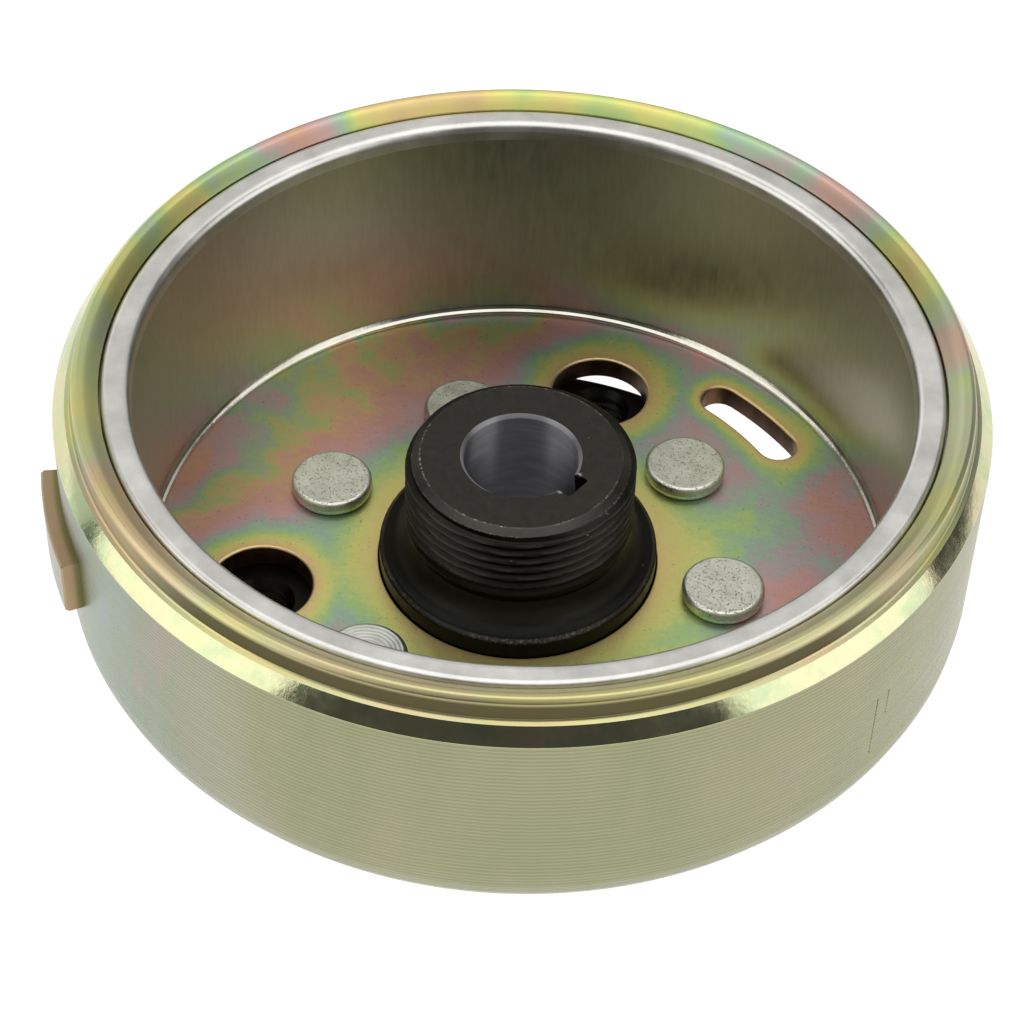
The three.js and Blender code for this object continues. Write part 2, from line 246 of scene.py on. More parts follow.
def finished(piece, nodes):
    """Smooth shading with crisp edges, then the piece's place in the frame."""
    mesh = bmesh.new()
    mesh.from_mesh(piece.data)
    bmesh.ops.remove_doubles(mesh, verts=mesh.verts, dist=1e-7)
    bmesh.ops.dissolve_degenerate(mesh, edges=mesh.edges, dist=1e-8)
    mesh.normal_update()
    for face in mesh.faces:
        face.smooth = True
    for edge in mesh.edges:
        if len(edge.link_faces) != 2:
            continue
        level = [abs(face.normal.z) > FLAT_Z for face in edge.link_faces]
        edge.smooth = edge.calc_face_angle(0) < SHARP_ANGLE and level[0] == level[1]
    mesh.to_mesh(piece.data)
    mesh.free()
    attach(piece, "root")
    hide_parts(*nodes)


# ---- shader helpers --------------------------------------------------------------------------
def node(tree, kind, links=None, **settings):
    """A new shader node, its inputs joined to sockets or set to values."""
    made = tree.nodes.new("ShaderNode" + kind)
    for key, value in settings.items():
        setattr(made, key, value)
    for key, value in (links or {}).items():
        if isinstance(value, bpy.types.NodeSocket):
            tree.links.new(value, made.inputs[key])
        else:
            made.inputs[key].default_value = value
    return made


def calc(tree, operation, *values):
    return node(tree, "Math", dict(enumerate(values)), operation=operation).outputs[0]


def chained(tree, operation, values):
    """One operation over two or more values, from the first to the last."""
    result = values[0]
    for value in values[1:]:
        result = calc(tree, operation, result, value)
    return result


def total(tree, *values):
    return chained(tree, "ADD", values)


def product(tree, *values):
    return chained(tree, "MULTIPLY", values)


def largest(tree, *values):
    return chained(tree, "MAXIMUM", values)


def opposite(tree, value):
    """1 less the value."""
    return calc(tree, "SUBTRACT", 1.0, value)


def swing(tree, noise_value, amount):
    """Noise as a swing of amount, half of it either side of 0."""
    return product(tree, calc(tree, "SUBTRACT", noise_value, 0.5), amount)


def smooth_step(tree, value, low, high):
    links = {"Value": value, "From Min": low, "From Max": high, "To Min": 0.0, "To Max": 1.0}
    return node(tree, "MapRange", links, interpolation_type="SMOOTHSTEP").outputs[0]


def ramp(tree, factor, stops):
    made = node(tree, "ValToRGB", {"Fac": factor})
    elements = made.color_ramp.elements
    while len(elements) < len(stops):
        elements.new(0.5)
    for element, (position, colour) in zip(elements, stops):
        element.position = position
        element.color = colour
    return made.outputs["Color"]


def mix(tree, factor, one, two, blend="MIX"):
    factor_input, first_input, second_input, colour_output = 0, 6, 7, 2
    links = {factor_input: factor, first_input: one, second_input: two}
    return node(tree, "Mix", links, data_type="RGBA", blend_type=blend).outputs[colour_output]


def grain(tree, place, scale, stretch=(1, 1, 1), detail=3.0, roughness=0.5):
    """Noise of a stated scale, in features per metre, stretched along the object's axes."""
    vector = node(tree, "Mapping", {"Vector": place, "Scale": stretch}).outputs[0]
    links = {"Vector": vector, "Scale": scale, "Detail": detail, "Roughness": roughness}
    return node(tree, "TexNoise", links).outputs["Fac"]


NOISE_LOW, NOISE_HIGH = 0.3, 0.7    # most noise lies between these


def two_tone(tree, noise_value, dark, light):
    return ramp(tree, noise_value, ((NOISE_LOW, dark), (NOISE_HIGH, light)))


def new_material(name, **constants):
    """A metal's Principled material and the handles that the finishes build on."""
    made = bpy.data.materials.new(name)
    made.use_nodes = True
    tree = made.node_tree
    surface = tree.nodes["Principled BSDF"]
    surface.inputs["Metallic"].default_value = 1.0
    for key, value in constants.items():
        surface.inputs[key.replace("_", " ")].default_value = value
    place = node(tree, "TexCoord").outputs["Object"]
    return made, tree, surface, place


def set_colour(tree, surface, colour):
    tree.links.new(colour, surface.inputs["Base Color"])


def set_roughness(tree, surface, noise_value, low, high):
    links = {"Value": noise_value, "From Min": NOISE_LOW, "From Max": NOISE_HIGH}
    spread = node(tree, "MapRange", {**links, "To Min": low, "To Max": high}).outputs[0]
    tree.links.new(spread, surface.inputs["Roughness"])


def set_bump(tree, surface, height, depth):
    """Relief of a depth in millimetres."""
    normal = node(tree, "Bump", {"Height": height, "Distance": depth * MM}).outputs["Normal"]
    tree.links.new(normal, surface.inputs["Normal"])


def polar(tree, place):
    """Radius and height in millimetres, and x and y in metres."""
    x, y, z = node(tree, "SeparateXYZ", {"Vector": place}).outputs
    squares = [calc(tree, "POWER", part, 2.0) for part in (x, y)]
    radius = calc(tree, "SQRT", total(tree, *squares))
    height = calc(tree, "SUBTRACT", calc(tree, "DIVIDE", z, MM), FLOOR_Z)
    return calc(tree, "DIVIDE", radius, MM), height, x, y


def towards(tree, x, y, azimuth, reach):
    """How far a point lies towards an azimuth, as a share of reach in millimetres."""
    angle = math.radians(azimuth)
    return total(tree, product(tree, x, math.cos(angle) / MM / reach),
                 product(tree, y, math.sin(angle) / MM / reach))


def millimetres_from(tree, place, centre):
    gap = node(tree, "VectorMath", {0: place, 1: centre}, operation="DISTANCE").outputs["Value"]
    return calc(tree, "DIVIDE", gap, MM)


def near_circle(tree, radius, height, ring_r, ring_z, width):
    """1 on a circle round the axis, fading to 0 at width millimetres from it."""
    apart = [calc(tree, "POWER", calc(tree, "SUBTRACT", radius, ring_r), 2.0),
             calc(tree, "POWER", calc(tree, "SUBTRACT", height, ring_z), 2.0)]
    gap = calc(tree, "SQRT", total(tree, *apart))
    return opposite(tree, smooth_step(tree, gap, 0.0, width))


def around(tree, place, height_scale):
    """Coordinates that run round the axis with no seam: direction x and y, and height."""
    x, y, z = node(tree, "SeparateXYZ", {"Vector": place}).outputs
    flat = node(tree, "CombineXYZ", {0: x, 1: y, 2: 0.0}).outputs[0]
    unit = node(tree, "VectorMath", {0: flat}, operation="NORMALIZE").outputs[0]
    lift = node(tree, "CombineXYZ", {2: product(tree, z, height_scale)}).outputs[0]
    return node(tree, "VectorMath", {0: unit, 1: lift}, operation="ADD").outputs[0]


# ---- yellow zinc -----------------------------------------------------------------------------
# Colours of the passivated film as it thickens, from the bare edges outwards.
FILM = (
    (0.00, srgb(214, 180, 136)),
    (0.10, srgb(226, 204, 128)),
    (0.20, srgb(214, 216, 122)),
    (0.29, srgb(168, 206, 132)),
    (0.37, srgb(150, 190, 170)),
    (0.45, srgb(182, 166, 176)),
    (0.53, srgb(208, 156, 162)),
    (0.61, srgb(206, 152, 142)),
    (0.68, srgb(208, 168, 128)),
    (0.75, srgb(170, 188, 118)),
    (0.82, srgb(146, 176, 152)),
    (0.90, srgb(184, 156, 166)),
    (1.00, srgb(206, 150, 132)),
)
# How fast the film thickens with the distance from a bolt hole, from the slot and from the hub,
# then its start at the hub, the blend between places and its reach, in millimetres.
BOLT_PACE, SLOT_PACE, HUB_PACE = 1.0, 1.9, 0.46
HUB_FILM, FILM_BLEND, FILM_REACH = 0.9, 2.0, 8.0


def thin_near_edges(tree, place, radius):
    """0 at the rims of the floor's holes and at the hub, rising to 1 well away from them."""
    spots = [(at(BOLT_PCR, az), BOLT_CLEAR_R, BOLT_PACE) for az in BOLT_AZ]
    spots += [(at(SLOT_PCR, SLOT_AZ + share * SLOT_HALF_SWEEP), SLOT_HALF_W, SLOT_PACE)
              for share in (-1, -0.5, 0, 0.5, 1)]
    from_hub = calc(tree, "SUBTRACT", radius, RIM_R)
    nearest = total(tree, product(tree, from_hub, HUB_PACE), HUB_FILM)
    for centre, hole_r, pace in spots:
        away = calc(tree, "SUBTRACT", millimetres_from(tree, place, centre), hole_r)
        nearest = calc(tree, "SMOOTH_MIN", nearest, product(tree, away, pace), FILM_BLEND)
    nearest = largest(tree, nearest, 0.0)
    return opposite(tree, calc(tree, "EXPONENT", calc(tree, "DIVIDE", nearest, -FILM_REACH)))


def zinc_floor():
    """Film that is thick on one side and thin by the holes, clouded, wisped and speckled."""
    made, tree, surface, place = new_material("zinc_floor")
    radius, _, x, y = polar(tree, place)
    lean = product(tree, towards(tree, x, y, CAMERA_AZ + 152, 48), 0.24)
    clouds = swing(tree, grain(tree, place, 55.0, detail=2.0), 0.9)
    wisps = swing(tree, grain(tree, place, 190.0, detail=5.0, roughness=0.6), 0.7)
    speckle = swing(tree, grain(tree, place, 1500.0), 0.12)
    film = total(tree, 0.78, lean, clouds, wisps)
    film = total(tree, product(tree, film, thin_near_edges(tree, place, radius)), speckle)
    soft = mix(tree, 0.2, ramp(tree, film, FILM), srgb(196, 184, 150))
    specks = smooth_step(tree, grain(tree, place, 2400.0, detail=1.0), 0.70, 0.78)
    colour = mix(tree, product(tree, specks, 0.5), soft, srgb(90, 84, 56))
    set_colour(tree, surface, colour)
    set_roughness(tree, surface, grain(tree, place, 90.0), 0.36, 0.46)
    set_bump(tree, surface, grain(tree, place, 900.0, detail=5.0, roughness=0.6), 0.035)
    return made


def zinc_cut_edge():
    """Darker walls of the holes in the floor, streaked along their depth."""
    made, tree, surface, place = new_material("zinc_cut_edge", Roughness=0.45)
    streaks = grain(tree, place, 500.0, stretch=(1, 1, 0.3), detail=4.0)
    set_colour(tree, surface, two_tone(tree, streaks, srgb(84, 62, 46), srgb(122, 92, 66)))
    set_bump(tree, surface, streaks, 0.02)
    return made


def zinc_wall():
    """Turned wall: warm, with a cooler side on the camera's left, and fine tool lines."""
    made, tree, surface, place = new_material("zinc_wall")
    _, height, x, y = polar(tree, place)
    round_it = around(tree, place, 6.0)
    warm = ramp(tree, grain(tree, round_it, 2.2), (
        (0.30, srgb(176, 174, 146)),
        (0.42, srgb(170, 168, 136)),
        (0.50, srgb(162, 164, 126)),
        (0.60, srgb(170, 168, 132)),
        (0.72, srgb(172, 160, 142)),
    ))
    cool = ramp(tree, grain(tree, round_it, 7.0, detail=4.0, roughness=0.6), (
        (0.36, srgb(178, 164, 158)),
        (0.50, srgb(156, 170, 148)),
        (0.62, srgb(158, 172, 162)),
    ))
    leftwards = towards(tree, x, y, CAMERA_AZ + 195, DRUM_R)
    colour = mix(tree, smooth_step(tree, leftwards, 0.7, 1.0), warm, cool)
    chatter = swing(tree, grain(tree, around(tree, place, 3.0), 30.0, detail=2.0), 0.45)
    turns = total(tree, calc(tree, "DIVIDE", height, TURNING_PITCH), chatter)
    wave = calc(tree, "SINE", product(tree, turns, 2 * math.pi))
    fine = grain(tree, place, 26.0, stretch=(1, 1, 220))
    lighter = total(tree, product(tree, wave, 0.10), 0.86)
    set_colour(tree, surface, mix(tree, 1.0, colour, lighter, "MULTIPLY"))
    set_roughness(tree, surface, fine, 0.26, 0.38)
    set_bump(tree, surface, total(tree, product(tree, wave, 0.6), fine), 0.026)
    return made


def zinc_bevel():
    """The bright bevel between the wall and the lip, with faint blotches."""
    made, tree, surface, place = new_material("zinc_bevel")
    drift = ramp(tree, grain(tree, around(tree, place, 2.0), 3.0), (
        (0.35, srgb(214, 212, 168)),
        (0.50, srgb(208, 212, 170)),
        (0.65, srgb(220, 210, 176)),
    ))
    blotches = ramp(tree, grain(tree, place, 170.0, detail=5.0, roughness=0.6), (
        (0.35, srgb(222, 196, 160)),
        (0.50, srgb(206, 210, 158)),
        (0.62, srgb(150, 186, 140)),
    ))
    set_colour(tree, surface, mix(tree, 0.4, drift, blotches))
    set_roughness(tree, surface, grain(tree, place, 260.0, detail=5.0, roughness=0.7), 0.08, 0.22)
    set_bump(tree, surface, grain(tree, place, 1800.0), 0.008)
    return made


def painted_lip_shade(tree, radius, height, behind):
    """How much painted shade the lip takes: a little on its inner slope towards the sleeve, more on
    its flank, and most on the flank nearest the camera.
    """
    inner = opposite(tree, smooth_step(tree, radius, LIP_SHOULDER_R - 1.0, LIP_SHOULDER_R + 0.2))
    flank = product(tree, smooth_step(tree, radius, LIP_CREST_R + 0.1, LIP_CREST_R + 0.45),
                    opposite(tree, smooth_step(tree, height, 33.3, 34.0)),
                    calc(tree, "GREATER_THAN", height, LIP_UNDER + 0.15))
    # painted shade is stronger on the flank nearest the camera, set by azimuth
    near = total(tree, 0.45, product(tree, smooth_step(tree, behind, -0.6, -0.85), 0.5))
    return largest(tree, product(tree, inner, 0.25), product(tree, flank, near))


def zinc_lip():
    """Rolled lip: film that runs round it, plainer on the camera's side, with painted shade on its
    flank and inner slope, finely scratched.
    """
    made, tree, surface, place = new_material("zinc_lip")
    radius, height, x, y = polar(tree, place)
    drift = grain(tree, around(tree, place, 30.0), 2.6)
    film = total(tree, swing(tree, drift, 1.5), 0.36)
    behind = towards(tree, x, y, CAMERA_AZ + 90, LIP_R)
    plain = calc(tree, "SUBTRACT", 0.52, product(tree, behind, 0.34))
    colour = mix(tree, plain, ramp(tree, film, FILM), srgb(212, 200, 146))
    lip_shade = painted_lip_shade(tree, radius, height, behind)
    # painted shade: the flank and inner slope mix towards this dark brown
    set_colour(tree, surface, mix(tree, lip_shade, colour, srgb(84, 77, 52)))
    scratches = grain(tree, around(tree, place, 700.0), 3.0, detail=5.0, roughness=0.7)
    set_roughness(tree, surface, scratches, 0.32, 0.42)
    set_bump(tree, surface, scratches, 0.006)
    return made


def zinc_pad():
    """The raised pad, with painted shade at its foot: darker and greener where it meets the wall.
    """
    made, tree, surface, place = new_material("zinc_pad")
    radius = polar(tree, place)[0]
    drift = grain(tree, place, 150.0)
    colour = ramp(tree, drift, ((0.35, srgb(172, 158, 112)), (0.65, srgb(186, 150, 128))))
    # painted shade in the corner where the pad meets the wall
    foot = opposite(tree, smooth_step(tree, radius, DRUM_R + 0.25, DRUM_R + 1.0))
    set_colour(tree, surface, mix(tree, product(tree, foot, 0.85), colour, srgb(122, 124, 74)))
    set_roughness(tree, surface, drift, 0.28, 0.4)
    set_bump(tree, surface, grain(tree, place, 900.0, detail=4.0), 0.02)
    return made


def zinc_back():
    """The drum's unseen back."""
    made, tree, surface, place = new_material("zinc_back")
    film = ramp(tree, grain(tree, place, 26.0), FILM)
    set_colour(tree, surface, mix(tree, 0.4, film, srgb(184, 176, 116)))
    set_roughness(tree, surface, grain(tree, place, 120.0), 0.26, 0.4)
    set_bump(tree, surface, grain(tree, place, 1400.0, detail=4.0), 0.014)
    return made


# ---- sleeve's finishes -----------------------------------------------------------------------
def sleeve_wall():
    """Bare steel, faintly streaked round the axis."""
    made, tree, surface, place = new_material("sleeve_wall")
    streaks = grain(tree, around(tree, place, 4.0), 60.0, detail=5.0, roughness=0.65)
    set_colour(tree, surface, two_tone(tree, streaks, srgb(176, 172, 158), srgb(192, 188, 174)))
    set_roughness(tree, surface, streaks, 0.32, 0.42)
    set_bump(tree, surface, streaks, 0.006)
    return made


def sleeve_rim():
    """The sleeve's bright rolled bead."""
    made, tree, surface, place = new_material("sleeve_rim")
    clouds = grain(tree, place, 160.0, detail=5.0, roughness=0.65)
    set_colour(tree, surface, two_tone(tree, clouds, srgb(206, 204, 198), srgb(234, 233, 227)))
    set_roughness(tree, surface, clouds, 0.3, 0.4)
    set_bump(tree, surface, grain(tree, place, 1500.0, detail=4.0), 0.012)
    return made


def sleeve_foot():
    """The sleeve's smooth turned-in foot."""
    made, tree, surface, place = new_material("sleeve_foot")
    clouds = grain(tree, place, 220.0, detail=4.0)
    set_colour(tree, surface, two_tone(tree, clouds, srgb(196, 192, 176), srgb(222, 219, 206)))
    set_roughness(tree, surface, clouds, 0.12, 0.24)
    set_bump(tree, surface, grain(tree, place, 900.0, detail=4.0), 0.02)
    return made


# ---- hub's finishes --------------------------------------------------------------------------
def rubbed_oxide_and_painted_highlights(tree, radius, height):
    """How far the oxide is rubbed thin on the thread's crests and the top bevel, the crests'
    lightening also being a painted highlight, with a painted highlight on the collar's bevel.
    """
    crests = product(tree, smooth_step(tree, radius, THREAD_R - 0.35, THREAD_R),
                     smooth_step(tree, height, THREAD_LOW - 1, THREAD_LOW + 3),
                     calc(tree, "LESS_THAN", radius, THREAD_R + 0.1))
    bevel = product(tree, smooth_step(tree, height, THREAD_HIGH - 0.1, THREAD_HIGH + 0.1),
                    smooth_step(tree, radius, HUB_FACE_R - 0.1, HUB_FACE_R + 0.1))
    # painted highlight along the collar's bevel
    collar = near_circle(tree, radius, height, RIM_R - RIM_BEVEL / 2, RIM_H + RIM_BEVEL / 2, 0.5)
    return largest(tree, product(tree, crests, 0.25), product(tree, bevel, 0.42),
                   product(tree, collar, 0.7))


def worn_oxide_and_keyway_glints(tree, place, radius, height):
    """How far the oxide is gone: on chipped edges and in nicks, with painted glints at the keyway's
    corners.
    """
    edges = (                       # radius, height, width of the wear and its strength
        (HUB_FACE_R, HUB_TOP, 0.2, 1.0),
        (THREAD_END_R, THREAD_HIGH, 0.2, 0.5),
        (RIM_R - 0.3, RIM_H + 0.3, 0.5, 0.5),
    )
    wear = [product(tree, near_circle(tree, radius, height, ring_r, ring_z, width), strength)
            for ring_r, ring_z, width, strength in edges]
    chips = smooth_step(tree, grain(tree, place, 2600.0, detail=5.0, roughness=0.75), 0.46, 0.66)
    patches = smooth_step(tree, grain(tree, place, 150.0, detail=2.0), 0.40, 0.60)
    nicks = smooth_step(tree, grain(tree, place, 1100.0, detail=2.0, roughness=0.8), 0.74, 0.80)
    worn = largest(tree, product(tree, largest(tree, *wear), chips, patches),
                   product(tree, nicks, 0.45))
    corner_r = BORE_TOP_R + 0.7
    corner_az = math.degrees(math.asin(KEYWAY_W / 2 / corner_r))
    # painted glints at the keyway's two top corners
    for side in (-1, 1):
        corner = at(corner_r, KEYWAY_AZ + side * corner_az, HUB_TOP)
        gap = millimetres_from(tree, place, corner)
        keyway_glint = opposite(tree, smooth_step(tree, gap, 0.15, 0.55))
        worn = largest(tree, worn, product(tree, keyway_glint, 0.7))
    return worn


def black_oxide():
    """Oxide that is greyer on the neck and the top face, and blackest from the flare's foot out."""
    made, tree, surface, place = new_material("black_oxide")
    radius, height, _, _ = polar(tree, place)
    mottle = grain(tree, place, 900.0, detail=5.0, roughness=0.65)
    colour = two_tone(tree, mottle, srgb(36, 36, 33), srgb(44, 43, 40))
    neck = product(tree, opposite(tree, smooth_step(tree, height, 5.5, 8.5)), 0.6)
    colour = mix(tree, neck, colour, srgb(58, 57, 50))
    foot = product(tree, smooth_step(tree, radius, 15.6, 16.4), 0.9)
    colour = mix(tree, foot, colour, srgb(26, 26, 24))
    faced = smooth_step(tree, height, HUB_TOP - 0.12, HUB_TOP - 0.02)
    colour = mix(tree, faced, colour, two_tone(tree, mottle, srgb(56, 55, 50), srgb(64, 62, 57)))
    # painted highlights on the collar's bevel and, with real rubbing, on the thread's crests
    colour = mix(tree, rubbed_oxide_and_painted_highlights(tree, radius, height), colour, srgb(92, 89, 84))
    # worn bare steel, and painted glints at the keyway's corners
    colour = mix(tree, worn_oxide_and_keyway_glints(tree, place, radius, height), colour, srgb(190, 186, 176))
    set_colour(tree, surface, colour)
    set_roughness(tree, surface, mottle, 0.28, 0.42)
    set_bump(tree, surface, mottle, 0.008)
    return made


def bore_steel():
    """Reamed steel, which draws its highlights out along the bore."""
    made, tree, surface, place = new_material("bore_steel", Roughness=0.46, Anisotropic=1.0,
                                              Anisotropic_Rotation=0.25)
    tangent = node(tree, "Tangent", direction_type="RADIAL", axis="Z").outputs[0]
    tree.links.new(tangent, surface.inputs["Tangent"])
    rings = grain(tree, place, 200.0, stretch=(1, 1, 8), detail=4.0)
    set_colour(tree, surface, two_tone(tree, rings, srgb(150, 150, 154), srgb(172, 172, 176)))
    return made


# ---- rivets' finishes ------------------------------------------------------------------------
def rivet_zinc():
    """A pitted, forged head."""
    made, tree, surface, place = new_material("rivet_zinc")
    clouds = grain(tree, place, 420.0, detail=5.0, roughness=0.65)
    colour = two_tone(tree, clouds, srgb(206, 209, 192), srgb(230, 231, 218))
    pits = smooth_step(tree, grain(tree, place, 3600.0, roughness=0.6), 0.55, 0.67)
    set_colour(tree, surface, mix(tree, product(tree, pits, 0.55), colour, srgb(112, 114, 98)))
    set_roughness(tree, surface, clouds, 0.3, 0.44)
    set_bump(tree, surface, calc(tree, "SUBTRACT", clouds, product(tree, pits, 0.8)), 0.045)
    return made


def turned_rivet_zinc():
    """The finish of the rivet whose head was faced on a lathe: rings about its own middle."""
    ring_pitch = 0.55
    made, tree, surface, place = new_material("rivet_zinc_turned")
    middle = at(RIVET_PCR, RIVET_AZ[TURNED_RIVET], RIVET_HEAD_TOP)
    turns = calc(tree, "DIVIDE", millimetres_from(tree, place, middle), ring_pitch)
    turns = total(tree, turns, grain(tree, place, 260.0))
    clouds = grain(tree, place, 500.0, detail=5.0)
    set_colour(tree, surface, two_tone(tree, clouds, srgb(200, 203, 194), srgb(228, 230, 222)))
    set_roughness(tree, surface, clouds, 0.28, 0.4)
    set_bump(tree, surface, calc(tree, "SINE", product(tree, turns, 2 * math.pi)), 0.008)
    return made


# ---- drum ------------------------------------------------------------------------------------
DRUM_FINISHES = (zinc_floor, zinc_wall, zinc_bevel, zinc_lip, zinc_back, zinc_cut_edge, zinc_pad)
FLOOR, WALL, BEVEL, LIP, BACK, CUT_EDGE, PAD = range(len(DRUM_FINISHES))


def pad_body():
    """The raised pad: a sector of a ring, with its outer edges eased."""
    in_r, edge, steps = DRUM_R - 1, 0.22, 12
    section = [(in_r, PAD_LOW), (PAD_OUT_R - edge, PAD_LOW), (PAD_OUT_R, PAD_LOW + edge)]
    section += [(PAD_OUT_R, PAD_HIGH - edge), (PAD_OUT_R - edge, PAD_HIGH), (in_r, PAD_HIGH)]
    shrink = (PAD_OUT_R - edge - in_r) / (PAD_OUT_R - in_r)
    eased = [(in_r + (r - in_r) * shrink, z) for r, z in section]
    half = PAD_HALF_SWEEP
    eased_half = half + math.degrees(edge / PAD_OUT_R)
    layers = [(-eased_half, eased)]
    layers += [(half * (2 * k / steps - 1), section) for k in range(steps + 1)]
    layers += [(eased_half, eased)]
    return stacked([[at(r, PAD_AZ + turn, z) for r, z in layer] for turn, layer in layers])


def rolled_mouth(edge, steps=4):
    """(how much wider, height) up a hole's rolled mouth, from its wall to the floor's face."""
    angles = [math.pi / 2 * k / steps for k in range(steps + 1)]
    return [(edge * (1 - math.cos(a)), -edge * (1 - math.sin(a))) for a in angles]


def hole_cutter(radius, azimuth, pitch_radius, edge, segments):
    """A round cutter whose mouth at the floor's face leaves a softly rolled edge."""
    mouth = [(radius + extra, z) for extra, z in rolled_mouth(edge)]
    outline = [(0, CUT_LOW), (radius, CUT_LOW), *mouth, (radius + edge, CUT_HIGH), (0, CUT_HIGH)]
    return off_axis(carried_round(outline, segments), pitch_radius, azimuth)


def slot_loop(extra, z, steps=10):
    """The slot's outline, grown by extra, at height z."""
    half = SLOT_HALF_W + extra
    start, end = SLOT_AZ - SLOT_HALF_SWEEP, SLOT_AZ + SLOT_HALF_SWEEP
    sweep = [start + (end - start) * k / steps for k in range(steps + 1)]

    def round_end(azimuth, turn):
        middle = at(SLOT_PCR, azimuth, z)
        angles = [math.radians(azimuth + turn + 180 * k / steps) for k in range(1, steps)]
        return [middle + Vector((math.cos(a), math.sin(a), 0)) * half * MM for a in angles]

    outside = [at(SLOT_PCR + half, azimuth, z) for azimuth in sweep]
    inside = [at(SLOT_PCR - half, azimuth, z) for azimuth in reversed(sweep)]
    return [*outside, *round_end(end, 0), *inside, *round_end(start, 180)]


def slot_cutter():
    edge = 0.4
    levels = [(0.0, CUT_LOW), *rolled_mouth(edge), (edge, CUT_HIGH)]
    return stacked([slot_loop(extra, z) for extra, z in levels])


def mark_cutter(azimuth, low, high):
    """A V-shaped scribed line down the wall, shallow at both ends."""
    shallow, run_out, clear_r = 0.02, 0.3, DRUM_R + MARK_CUTTER_OUT
    full_sweep = math.degrees(MARK_CUTTER_W / 2 / DRUM_R)
    loops = []
    for z, depth in ((low, shallow), (low + run_out, MARK_DEPTH),
                     (high - run_out, MARK_DEPTH), (high, shallow)):
        sweep = full_sweep * depth / MARK_DEPTH
        loops.append([at(clear_r, azimuth - sweep, z), at(DRUM_R - depth, azimuth, z),
                      at(clear_r, azimuth + sweep, z)])
    return stacked(loops)


def drum_region(centre, normal):
    """Which finish a face takes, from its middle in millimetres and its normal."""
    radius, z = math.hypot(centre.x, centre.y), centre.z - FLOOR_Z
    back_top = -DRUM_FLOOR_T + 1.2
    if radius > DRUM_R + 0.02:
        outward = (centre.x * normal.x + centre.y * normal.y) / radius
        return WALL if outward > 0.8 else PAD
    if radius < SLEEVE_IN_R and abs(normal.z) < 0.3:
        return CUT_EDGE
    if radius > BEVEL_R - 0.05 and z > WALL_TOP - 0.05:
        return BEVEL
    if z > LIP_UNDER - 0.3:
        return LIP
    if radius > DRUM_R - DRUM_CORNER_R + 6 and z > back_top:
        return WALL
    if z < back_top and normal.z < -0.05:
        return BACK
    return FLOOR


def build_drum():
    hole_r, wall_in_r = RIM_R + 0.15, DRUM_R - DRUM_WALL_T
    outline = rounded([
        (hole_r, 0, 0.15),
        (hole_r, -DRUM_FLOOR_T, 0.15),
        (DRUM_R, -DRUM_FLOOR_T, DRUM_CORNER_R),
        (DRUM_R, WALL_TOP, 0.1),
        (BEVEL_R, BEVEL_TOP, 0.12),
        (LIP_FLANK_FOOT_R, LIP_UNDER, 0.5),
        (LIP_FLANK_TOP_R, LIP_FLANK_TOP, 0.45),
        (LIP_CREST_R, LIP_TOP, 0.5),
        (LIP_SHOULDER_R, LIP_TOP - 0.2, 1.6),
        (LIP_R, LIP_EDGE_TOP, 0.2),
        (LIP_R, LIP_UNDER, 0.15),
        (wall_in_r, LIP_UNDER, 0.2),
        (wall_in_r, 0, DRUM_CORNER_R - DRUM_WALL_T),
    ])
    drum = make_object("drum_shell", carried_round(outline, SHELL_FACETS))
    combined(drum, [pad_body()], "UNION")
    cutters = [hole_cutter(BOLT_CLEAR_R, az, BOLT_PCR, 0.35, BOLT_FACETS) for az in BOLT_AZ]
    cutters += [hole_cutter(RIVET_SHANK_R + 0.1, az, RIVET_PCR, 0.1, SMALL_FACETS)
                for az in RIVET_AZ]
    cutters += [slot_cutter(), *[mark_cutter(*mark) for mark in MARKS]]
    combined(drum, cutters, "DIFFERENCE")
    for make in DRUM_FINISHES:
        drum.data.materials.append(make())
    for face in drum.data.polygons:
        face.material_index = drum_region(face.center / MM, face.normal)
    finished(drum, ["drum"])


# ---- sleeve ----------------------------------------------------------------------------------
SLEEVE_FINISHES = (sleeve_wall, sleeve_rim, sleeve_foot)
SLEEVE_WALL, SLEEVE_RIM, SLEEVE_FOOT = range(len(SLEEVE_FINISHES))


def sleeve_region(z):
    if z > SLEEVE_FLANGE_LOW + 0.2:
        return SLEEVE_RIM
    return SLEEVE_FOOT if z < SLEEVE_FOOT_TOP + 0.05 else SLEEVE_WALL


def build_sleeve():
    out_r = SLEEVE_IN_R + SLEEVE_T
    outline = rounded([
        (SLEEVE_FOOT_IN_R, 0.03, 0.1),
        (out_r, 0.03, 0.5),
        (out_r, SLEEVE_FLANGE_LOW, 0.1),
        (SLEEVE_FLANGE_R, SLEEVE_FLANGE_LOW, 0.1),
        (SLEEVE_FLANGE_R, SLEEVE_FLANGE_TOP, 0.1),
        (SLEEVE_BEAD_R, SLEEVE_FLANGE_TOP, 0.05),
        (SLEEVE_BEAD_R, SLEEVE_BEAD_TOP, 1.9),
        (SLEEVE_IN_R + 0.2, SLEEVE_BEAD_TOP, 1.65),
        (SLEEVE_IN_R, SLEEVE_BEAD_LOW, 0.8),
        (SLEEVE_IN_R, SLEEVE_FOOT_TOP, 0.5),
        (SLEEVE_IN_R - 0.35, 0.72, 0.3),
        (SLEEVE_FOOT_IN_R, 0.5, 0.2),
    ])
    sleeve = make_object("magnet_sleeve_shell", carried_round(outline, SHELL_FACETS))
    for make in SLEEVE_FINISHES:
        sleeve.data.materials.append(make())
    for face in sleeve.data.polygons:
        face.material_index = sleeve_region(face.center.z / MM - FLOOR_Z)
    finished(sleeve, ["magnet_sleeve"])


# ---- hub -------------------------------------------------------------------------------------
OXIDE, BORE = range(2)


